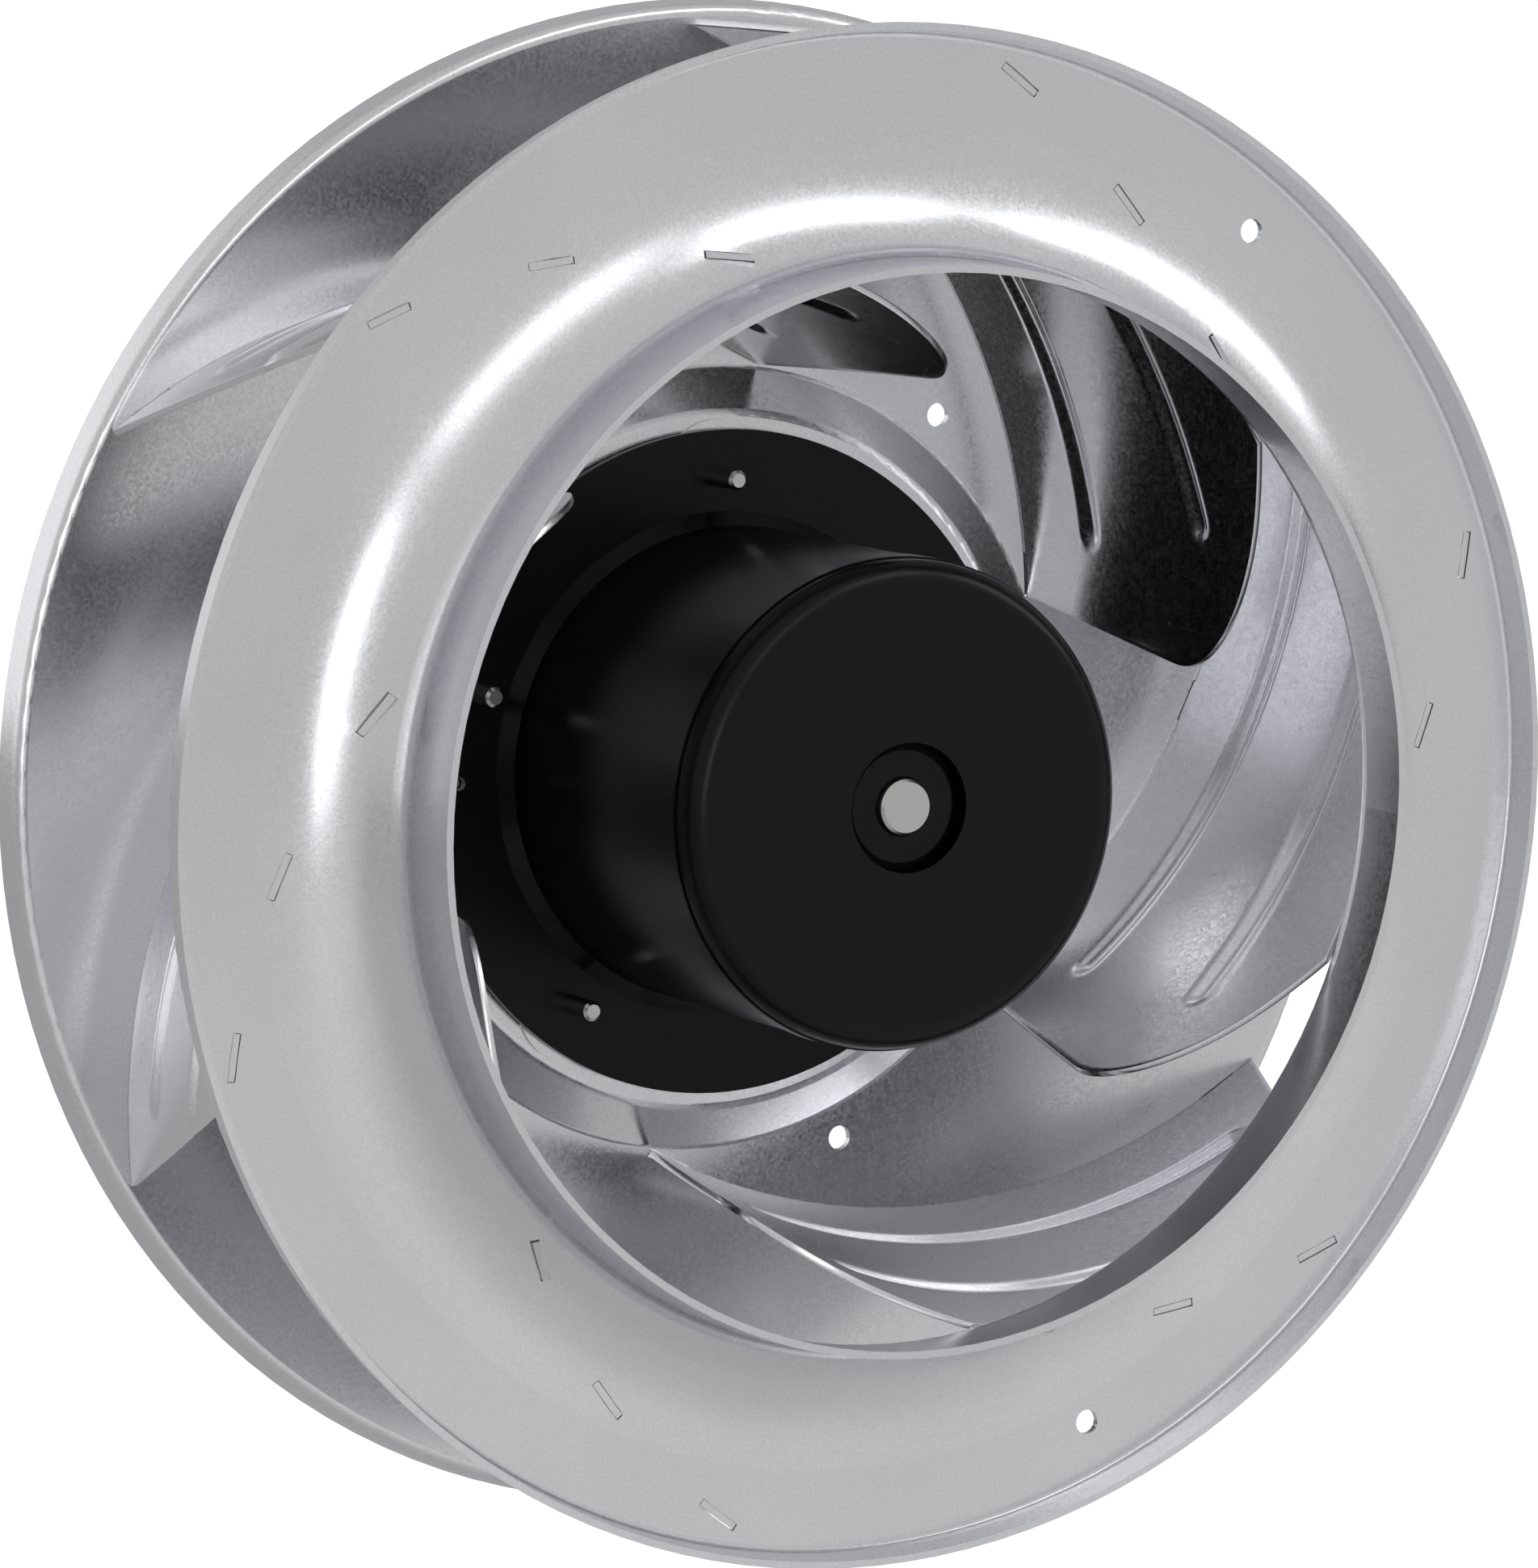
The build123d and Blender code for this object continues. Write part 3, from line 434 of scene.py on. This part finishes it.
def turned_metal(name, colour, roughness, pitch, bump):
    settings = {"Ring Pitch": pitch, "Colour": (*colour, 1), "Roughness": roughness}
    return finish_material(name, turned_group, settings, 1.0, bump)


sheet = grainy("satin_sheet", (0.785, 0.79, 0.815), 0.08, 0.22, 0.12, 0.0009, 1.0, 0.55)
rotor_black = grainy("rotor_black", (0.004, 0.004, 0.0043), 0.2, 0.25, 0.03, 0.0015, 0.0, 0.05)
# Painted shade: below the rotor face, the groove and the gap round the shaft turn the black metallic. This
# takes away its reflection, so these recesses read darker than the face.
GROOVE_MIDDLE = 0.0178
GROOVE_HALF_WIDTH = 0.0014
SHAFT_GAP_RADIUS = 0.0088
RECESS_EDGE = 0.0006
tree = rotor_black.node_tree
bsdf = tree.nodes["Principled BSDF"]
bsdf.inputs["Specular IOR Level"].default_value = 0.19
place = add(tree, "ShaderNodeTexCoord")
parts = add(tree, "ShaderNodeSeparateXYZ")
across = add(tree, "ShaderNodeVectorMath", operation="MULTIPLY")
across.inputs[1].default_value = (1, 0, 1)
reach = add(tree, "ShaderNodeVectorMath", operation="LENGTH")
groove = add(tree, "ShaderNodeMath", operation="COMPARE")
groove.inputs[1].default_value = GROOVE_MIDDLE
groove.inputs[2].default_value = GROOVE_HALF_WIDTH
near_shaft = add(tree, "ShaderNodeMath", operation="LESS_THAN")
near_shaft.inputs[1].default_value = SHAFT_GAP_RADIUS
below_face = add(tree, "ShaderNodeMath", operation="GREATER_THAN")
below_face.inputs[1].default_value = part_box("rotor_cup")[0][1] + RECESS_EDGE
recess_painted_shade = add(tree, "ShaderNodeMath", operation="MULTIPLY")
link(tree, place.outputs["Object"], parts.inputs[0])
link(tree, place.outputs["Object"], across.inputs[0])
link(tree, across.outputs[0], reach.inputs[0])
link(tree, reach.outputs["Value"], groove.inputs[0])
link(tree, reach.outputs["Value"], near_shaft.inputs[0])
link(tree, parts.outputs["Y"], below_face.inputs[0])
link(tree, either(tree, groove.outputs[0], near_shaft.outputs[0]), recess_painted_shade.inputs[0])
link(tree, below_face.outputs[0], recess_painted_shade.inputs[1])
link(tree, recess_painted_shade.outputs[0], bsdf.inputs["Metallic"])
finishes = {
    "sheet_aluminium": sheet,
    "rotor_black": rotor_black,
    "bright_steel": turned_metal("bright_steel", (0.62, 0.62, 0.61), 0.22, 0.0004, 0.1),
    "tube_steel": turned_metal("tube_steel", (0.5, 0.5, 0.5), 0.3, 0.0006, 0.15),
    "cage_plastic": grainy("cage_plastic", (0.45, 0.4, 0.3), 0.1, 0.5, 0.1, 0.002, 0.0, 0.1),
    "magnet_grey": grainy("magnet_grey", (0.08, 0.08, 0.09), 0.2, 0.5, 0.1, 0.001, 0.3, 0.2),
    "lamination_steel": grainy("lamination_steel", (0.25, 0.25, 0.26), 0.2, 0.45, 0.1, 0.0008, 1.0, 0.2),
    "insulator_plastic": grainy("insulator_plastic", (0.6, 0.56, 0.45), 0.08, 0.5, 0.1, 0.002, 0.0, 0.1),
    "copper_winding": grainy("copper_winding", (0.5, 0.18, 0.06), 0.2, 0.3, 0.1, 0.0012, 1.0, 0.5),
    "cast_aluminium": grainy("cast_aluminium", (0.5, 0.51, 0.52), 0.12, 0.42, 0.15, 0.0014, 1.0, 0.5),
    "cover_black": grainy("cover_black", (0.02, 0.02, 0.021), 0.15, 0.5, 0.1, 0.0012, 0.0, 0.4),
    "board_green": grainy("board_green", (0.02, 0.12, 0.05), 0.1, 0.35, 0.1, 0.003, 0.0, 0.1),
    "capacitor_can": turned_metal("capacitor_can", (0.45, 0.45, 0.47), 0.35, 0.001, 0.1),
    "seal_rubber": grainy("seal_rubber", (0.015, 0.015, 0.015), 0.2, 0.7, 0.1, 0.0008, 0.0, 0.3),
    "gland_plastic": grainy("gland_plastic", (0.03, 0.03, 0.032), 0.15, 0.45, 0.1, 0.0015, 0.0, 0.3),
}
for part in frame["record"]["subparts"]:
    data = nodes[part["node"]].data
    data.materials.clear()
    data.materials.append(finishes[part["material_slot"]])
print("finishes:", len(finishes))

# %% [markdown]
# A blade is one arched, leaning sheet with two long beads pressed into it. On the real blade the
# beads have a soft, rolled section, and the soft section is what draws the dark and bright bands.
# The sheet starts as a flat grid. Each point slides to its place between the leading edge, the
# trailing edge, the foot and the curve of the inlet ring, and the beads lift it as it goes.

# %% Blade shape
ARC_RADIUS = 199.1
ARC_MIDDLE = (169.3, math.radians(6.1))
ARC_NORMAL = math.radians(-22.6)
LEAN = (0.169, -0.048)
BLADE_COUNT = 6
REST_TURN = math.radians(-3.69)
BACK_FACE = 18.0
FRONT_FACE = 118.8
SEAT_GAP = 0.1
SHEET = 2.0
RING_SHEET = 2.2
BELL_START = 197.9
BELL_RADIUS = 50.0
TRAILING_FOOT = 220.6
TRAILING_TOP = 218.2
LEADING_FOOT = 119.8
LEADING_CORNER = (125.9, 116.6)
LEADING_END = (157.36, 135.38)
LEADING_BEND = (124.3, 91.4), (147.6, 129.6)
LEADING_SHARES = (0.62, 0.88)
BEAD_DEPTH = 1.6
BEAD_HALF_WIDTH = 4.6
BEAD_ENDS = math.radians(-49.9), math.radians(1.0)
BEADS = ((28.0, 29.6, 33.0), (67.0, 71.2, 85.0))
COLUMNS = 130
ROWS = 96


def arc_centre(height):
    rise = height - BACK_FACE
    reach, bearing = ARC_MIDDLE
    x = reach * math.cos(bearing) - ARC_RADIUS * math.cos(ARC_NORMAL) + rise * LEAN[0]
    y = reach * math.sin(bearing) - ARC_RADIUS * math.sin(ARC_NORMAL) + rise * LEAN[1]
    return x, y


def arc_angle(radius, height):
    x, y = arc_centre(height)
    reach = math.hypot(x, y)
    cosine = (radius ** 2 - reach ** 2 - ARC_RADIUS ** 2) / (2 * reach * ARC_RADIUS)
    return math.atan2(y, x) - math.acos(cosine)


def blend(a, b, share):
    return a[0] + (b[0] - a[0]) * share, a[1] + (b[1] - a[1]) * share


def leading_edge(share):
    start = (LEADING_FOOT, BACK_FACE + SEAT_GAP)
    near, far = LEADING_BEND
    first, last = LEADING_SHARES
    if share < first:
        return blend(start, near, share / first)
    if share > last:
        return blend(far, LEADING_END, (share - last) / (1 - last))
    part = (share - first) / (last - first)
    return blend(blend(near, LEADING_CORNER, part), blend(LEADING_CORNER, far, part), part)


def under_ring(share):
    end = (TRAILING_TOP, FRONT_FACE - RING_SHEET - SEAT_GAP)
    radius = LEADING_END[0] + (end[0] - LEADING_END[0]) * share
    if radius >= BELL_START:
        return radius, end[1]
    reach = BELL_RADIUS + RING_SHEET + SEAT_GAP
    inward = BELL_START - radius
    steep = reach * math.sqrt(0.5)
    if inward <= steep:
        return radius, FRONT_FACE + BELL_RADIUS - math.sqrt(reach ** 2 - inward ** 2)
    return radius, FRONT_FACE + BELL_RADIUS - steep + inward - steep


def sheet_place(across, up):
    foot_start = (LEADING_FOOT, BACK_FACE + SEAT_GAP)
    foot_end = (TRAILING_FOOT, BACK_FACE + SEAT_GAP)
    top = under_ring(across)
    low = blend(foot_start, foot_end, across)
    between = blend(leading_edge(up), blend(foot_end, under_ring(1), up), across)
    straight = blend(low, blend(LEADING_END, under_ring(1), across), up)
    curved = blend(low, top, up)
    return between[0] + curved[0] - straight[0], between[1] + curved[1] - straight[1]


def bead_lift(angle, rise):
    start, end = BEAD_ENDS
    chord = ARC_RADIUS * math.sin(angle - (start + end) / 2)
    half = ARC_RADIUS * math.sin((end - start) / 2)
    beyond = max(abs(chord) - half, 0.0)
    share = min(max(chord / half, -1.0), 1.0)
    lift = 0.0
    for outer, middle, inner in BEADS:
        line = middle + (outer - inner) / 2 * share + ((outer + inner) / 2 - middle) * share ** 2
        gap = math.hypot(rise - line, beyond) / BEAD_HALF_WIDTH
        if gap < 1:
            lift += BEAD_DEPTH * math.cos(gap * math.pi / 2) ** 1.5
    return lift


def blade_point(radius, height, lift, turn):
    x, y = arc_centre(height)
    angle = arc_angle(radius, height)
    reach = ARC_RADIUS + lift + bead_lift(angle, height - BACK_FACE)
    spot = Vector((x + reach * math.cos(angle), y + reach * math.sin(angle), height))
    spot.rotate(Matrix.Rotation(turn, 3, "Z"))
    return Vector((spot.x, -spot.z, spot.y)) * MM


print("blade: arc of", ARC_RADIUS, "mm")


# %% Blades
TAB_LENGTH = 13.6
TAB_INSET = 0.2
TAB_SHEET = 1.96
TAB_ROOT = 4.2
BACK_SHEET = 2.4
EDGE_ROUND = 0.00018
FRONT_TABS = [math.radians(angle) for angle in (-4.71, -19.85, -34.98)]
BACK_TABS = [math.radians(angle) for angle in (4.9, -22.6, -53.3)]


def arc_spot(angle, height, outward, turn):
    x, y = arc_centre(height)
    reach = ARC_RADIUS + outward
    spot = Vector((x + reach * math.cos(angle), y + reach * math.sin(angle), height))
    spot.rotate(Matrix.Rotation(turn, 3, "Z"))
    return spot


def ring_front(radius):
    inward = max(BELL_START - radius, 0.0)
    return FRONT_FACE + BELL_RADIUS - math.sqrt(BELL_RADIUS ** 2 - inward ** 2)


def add_tab(shape, angle, turn, front):
    for corner in bmesh.ops.create_cube(shape, size=1.0)["verts"]:
        along = angle + corner.co.y * TAB_LENGTH / ARC_RADIUS
        outward = corner.co.x * TAB_SHEET
        height = BACK_FACE - BACK_SHEET + TAB_INSET
        if front:
            height = ring_front(arc_spot(along, FRONT_FACE, outward, turn).xy.length) - TAB_INSET
        deeper = corner.co.z < 0 if front else corner.co.z > 0
        if deeper:
            height += -TAB_ROOT if front else TAB_ROOT
        spot = arc_spot(along, height, outward, turn)
        corner.co = Vector((spot.x, -spot.z, spot.y)) * MM


def make_blade(index):
    turn = REST_TURN + index * math.tau / BLADE_COUNT
    shape = bmesh.new()
    bmesh.ops.create_grid(shape, x_segments=COLUMNS, y_segments=ROWS, size=1.0)
    for point in shape.verts:
        radius, height = sheet_place((point.co.x + 1) / 2, (point.co.y + 1) / 2)
        point.co = blade_point(radius, height, -SHEET / 2, turn)
    shape.normal_update()
    bmesh.ops.solidify(shape, geom=shape.faces[:], thickness=-SHEET * MM)
    bmesh.ops.recalc_face_normals(shape, faces=shape.faces)
    rim = [edge for edge in shape.edges if edge.calc_face_angle(0) > math.radians(50)]
    bmesh.ops.bevel(shape, geom=rim, offset=EDGE_ROUND, segments=2, profile=0.5, affect="EDGES", material=-1)
    for angle in FRONT_TABS:
        add_tab(shape, angle, turn, True)
    for angle in BACK_TABS:
        add_tab(shape, angle, turn, False)
    mesh = bpy.data.meshes.new(f"pressed_blade_{index + 1}")
    shape.to_mesh(mesh)
    shape.free()
    mesh.shade_smooth()
    mesh.set_sharp_from_angle(angle=math.radians(40))
    mesh.materials.append(sheet)
    blade = bpy.data.objects.new(f"pressed_blade_{index + 1}", mesh)
    scene.collection.objects.link(blade)
    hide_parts(f"blade_{index + 1}")
    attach(blade, "rotor")
    return blade


for index in range(BLADE_COUNT):
    blade = make_blade(index)
    made = [blade.matrix_world @ point.co for point in blade.data.vertices]
    reach = [round(max(point[k] for point in made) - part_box(f"blade_{index + 1}")[1][k], 5) for k in range(3)]
    least = [round(min(point[k] for point in made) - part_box(f"blade_{index + 1}")[0][k], 5) for k in range(3)]
    print("blade", index + 1, least, reach)
print("blades:", BLADE_COUNT, "of", len(blade.data.polygons), "faces")
